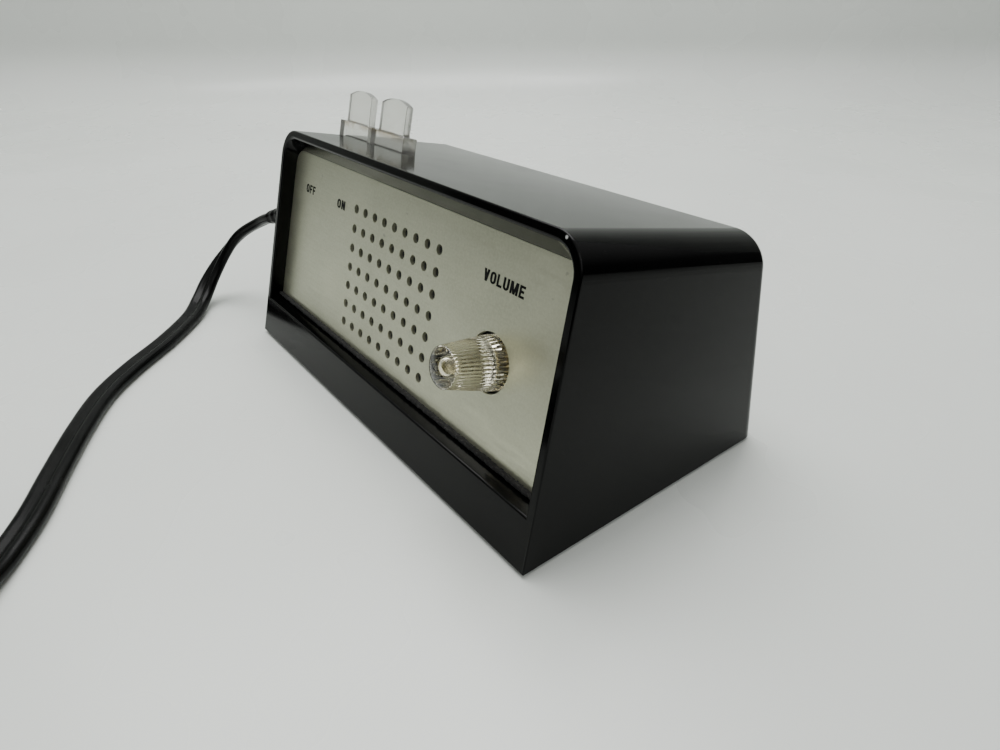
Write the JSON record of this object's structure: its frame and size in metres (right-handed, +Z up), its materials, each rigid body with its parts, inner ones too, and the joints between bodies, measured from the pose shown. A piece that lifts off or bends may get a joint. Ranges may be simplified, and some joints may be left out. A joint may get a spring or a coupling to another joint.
{
  "type": "desk paging speaker",
  "caption": "Wedge-shaped desk paging speaker with a perforated metal front, push keys on top, a clear volume knob and a flat twin mains lead.",
  "frame": {"origin": "on the surface the object stands on, under the middle of its box measured without the lead, coil, plug and strain relief", "axes": "+X to the right seen from the front, +Y to the rear, +Z up; the front face leans back 14.74 degrees"},
  "size_m": [0.1953, 0.2686, 0.081],
  "materials": {
    "housing": "glossy moulded black",
    "panel": "satin, finely brushed, clear lacquer",
    "knob": "clear, slightly yellowed, ribbed",
    "key": "clear, polished",
    "foam": "crumbling black foam",
    "cloth": "black woven cloth",
    "foot_rubber": "matt",
    "base_steel": "satin black paint",
    "chassis": "mill finish",
    "plated_steel": "zinc plated",
    "screw": "zinc plated",
    "plated_brass": "nickel plated",
    "contact_brass": "plain",
    "copper": "enamelled wire",
    "magnet": "varnished laminations and ferrite",
    "cone_paper": "pressed felted paper",
    "black_plastic": "moulded",
    "board": "phenolic paper laminate",
    "capacitor_sleeve": "shrunk sleeve",
    "resistor_coat": "dipped coating",
    "bobbin": "varnished tape",
    "fuse_glass": "clear tube with plated caps",
    "wire_red": "plastic insulation",
    "wire_blue": "plastic insulation",
    "cord_black": "flexible black vinyl"
  },
  "bodies": {
    "housing": {"top_shell": "housing", "base_plate": "base_steel", "base_screws": "screw", "rubber_feet": "foot_rubber", "front_panel": "panel", "foam_strip": "foam", "grille_cloth": "cloth", "chassis_plate": "chassis", "chassis_screws": "screw", "speaker_gasket": "foam", "speaker_frame": "plated_steel", "speaker_magnet": "magnet", "speaker_screws": "screw", "pot_body": "plated_steel", "pot_bushing": "plated_brass", "pot_washer": "screw", "pot_nut": "plated_brass", "switch_frame": "plated_steel", "switch_screws": "screw", "switch_contacts": "contact_brass", "circuit_board": "board", "board_standoffs": "plated_brass", "board_screws": "screw", "capacitors": "capacitor_sleeve", "resistors": "resistor_coat", "transistors": "black_plastic", "diodes": "black_plastic", "output_transformer": "magnet", "transformer_core": "magnet", "transformer_bobbin": "bobbin", "transformer_bracket": "plated_steel", "transformer_screws": "screw", "fuse_holder": "black_plastic", "fuse": "fuse_glass", "terminal_strip": "board", "mains_wires": "cord_black", "speaker_wires": "wire_red", "volume_wires": "wire_blue", "strain_relief": "cord_black", "power_cord": "cord_black", "cord_coil": "cord_black", "cord_tie": "cord_black", "plug_body": "cord_black", "plug_blades": "contact_brass"},
    "volume": {"pot_shaft": "plated_brass", "pot_wiper": "contact_brass", "volume_knob": "knob"},
    "off_button": {"off_key": "key", "off_plunger": "black_plastic", "off_spring": "screw"},
    "on_button": {"on_key": "key", "on_plunger": "black_plastic", "on_spring": "screw"},
    "latch": {"latch_bar": "plated_steel"},
    "cone": {"speaker_cone": "cone_paper", "dust_cap": "cone_paper", "voice_coil": "copper"}
  },
  "joints": [
    {"name": "volume_turn", "type": "hinge", "parent": "housing", "child": "volume", "pos_m": [0.0455, -0.03293, 0.03659], "axis": [0, -0.9671, 0.2544], "range_deg": [-150, 150]},
    {"name": "off_press", "type": "slide", "parent": "housing", "child": "off_button", "axis": [0, -0.2544, -0.9671], "range_m": [0, 0.0035], "stiffness_N_per_m": 260, "springref_m": -0.0015, "deforming": ["off_spring"]},
    {"name": "on_press", "type": "slide", "parent": "housing", "child": "on_button", "axis": [0, -0.2544, -0.9671], "range_m": [0, 0.0035], "stiffness_N_per_m": 260, "springref_m": -0.0015, "deforming": ["on_spring"]},
    {"name": "latch_slide", "type": "slide", "parent": "housing", "child": "latch", "axis": [-1, 0, 0], "range_m": [0, 0.0016]},
    {"name": "cone_travel", "type": "slide", "parent": "housing", "child": "cone", "axis": [0, -0.9671, 0.2544], "range_m": [-0.0004, 0.0004], "stiffness_N_per_m": 2000}
  ],
  "couplings": [
    {"joint": "latch_slide", "follows": "on_press", "ratio": 0.4}
  ]
}
